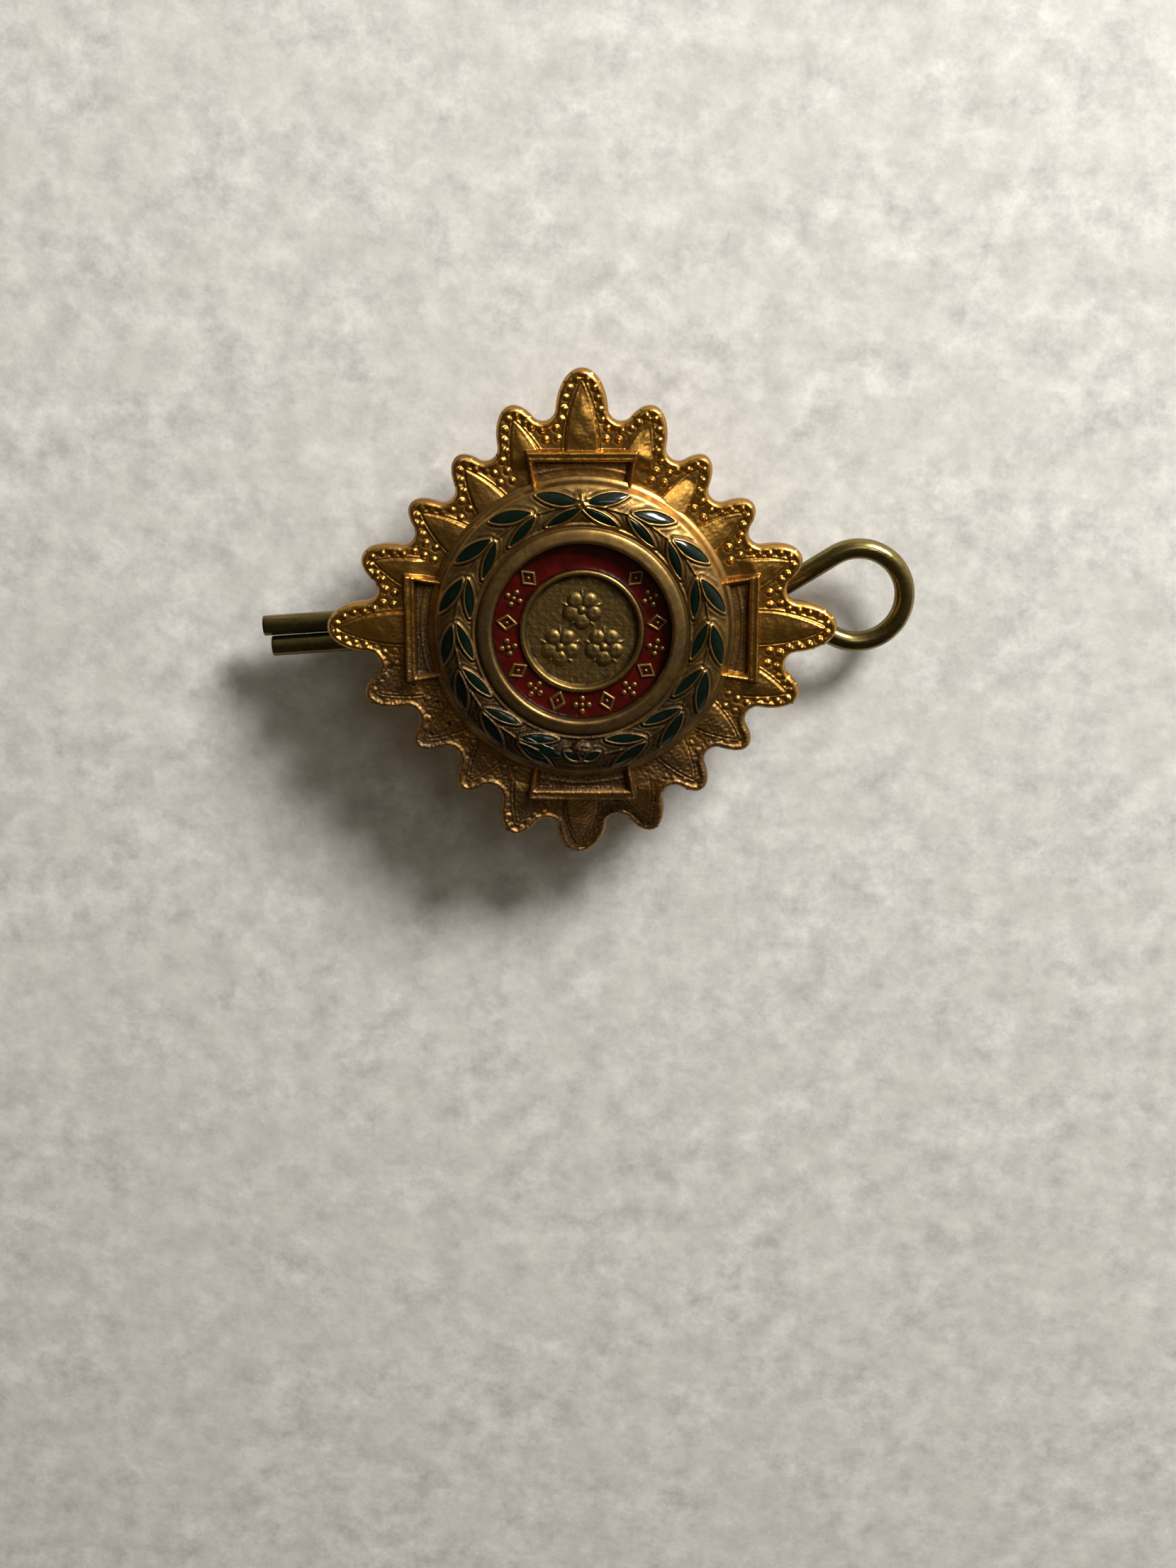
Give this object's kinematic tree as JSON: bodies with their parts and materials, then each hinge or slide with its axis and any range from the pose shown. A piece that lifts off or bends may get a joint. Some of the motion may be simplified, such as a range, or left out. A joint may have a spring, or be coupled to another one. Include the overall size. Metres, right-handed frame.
{
  "type": "cap badge",
  "caption": "Gilt star badge with rounded beaded petals, a green enamel laurel collar, a red enamel centre, two wire lugs on the back and a sliding split pin.",
  "frame": {"origin": "centre of the star, in the plane of the back face", "axes": "+Z out of the enamelled face, +Y to the top of the star, +X to the side on which the split pin has its eye"},
  "size_m": [0.0367, 0.0275, 0.008],
  "materials": {
    "gilt_star": "worn gilding over struck brass, bright on the raised beads and dull brown in the hollows",
    "gilt_collar": "satin gilding, slightly tarnished",
    "gilt_plaque": "satin gilding, tarnished to olive gold",
    "green_enamel": "glossy dark green fired enamel",
    "red_enamel": "deep red fired enamel, lightly pitted",
    "lug_brass": "tarnished drawn brass wire",
    "pin_brass": "olive, tarnished drawn brass wire with bright rubs"
  },
  "bodies": {
    "badge": {"star_plate": "gilt_star", "wreath_collar": "gilt_collar", "centre_plaque": "gilt_plaque", "red_enamel": "red_enamel", "centre_rivets": "lug_brass", "lug_left": "lug_brass", "lug_right": "lug_brass", "leaf_left_outer_1": "green_enamel", "leaf_left_outer_2": "green_enamel", "leaf_left_outer_3": "green_enamel", "leaf_left_outer_4": "green_enamel", "leaf_left_outer_5": "green_enamel", "leaf_left_outer_6": "green_enamel", "leaf_left_outer_7": "green_enamel", "leaf_left_outer_8": "green_enamel", "leaf_left_inner_1": "green_enamel", "leaf_left_inner_2": "green_enamel", "leaf_left_inner_3": "green_enamel", "leaf_left_inner_4": "green_enamel", "leaf_left_inner_5": "green_enamel", "leaf_left_inner_6": "green_enamel", "leaf_left_inner_7": "green_enamel", "leaf_left_inner_8": "green_enamel", "leaf_right_outer_1": "green_enamel", "leaf_right_outer_2": "green_enamel", "leaf_right_outer_3": "green_enamel", "leaf_right_outer_4": "green_enamel", "leaf_right_outer_5": "green_enamel", "leaf_right_outer_6": "green_enamel", "leaf_right_outer_7": "green_enamel", "leaf_right_outer_8": "green_enamel", "leaf_right_inner_1": "green_enamel", "leaf_right_inner_2": "green_enamel", "leaf_right_inner_3": "green_enamel", "leaf_right_inner_4": "green_enamel", "leaf_right_inner_5": "green_enamel", "leaf_right_inner_6": "green_enamel", "leaf_right_inner_7": "green_enamel", "leaf_right_inner_8": "green_enamel", "leaf_left_end": "green_enamel", "leaf_right_end": "green_enamel"},
    "split_pin": {"split_pin": "pin_brass"}
  },
  "joints": [
    {"name": "pin_slide", "type": "slide", "parent": "badge", "child": "split_pin", "axis": [0.9976, 0.0698, 0], "range_m": [-0.004, 0.024]}
  ]
}
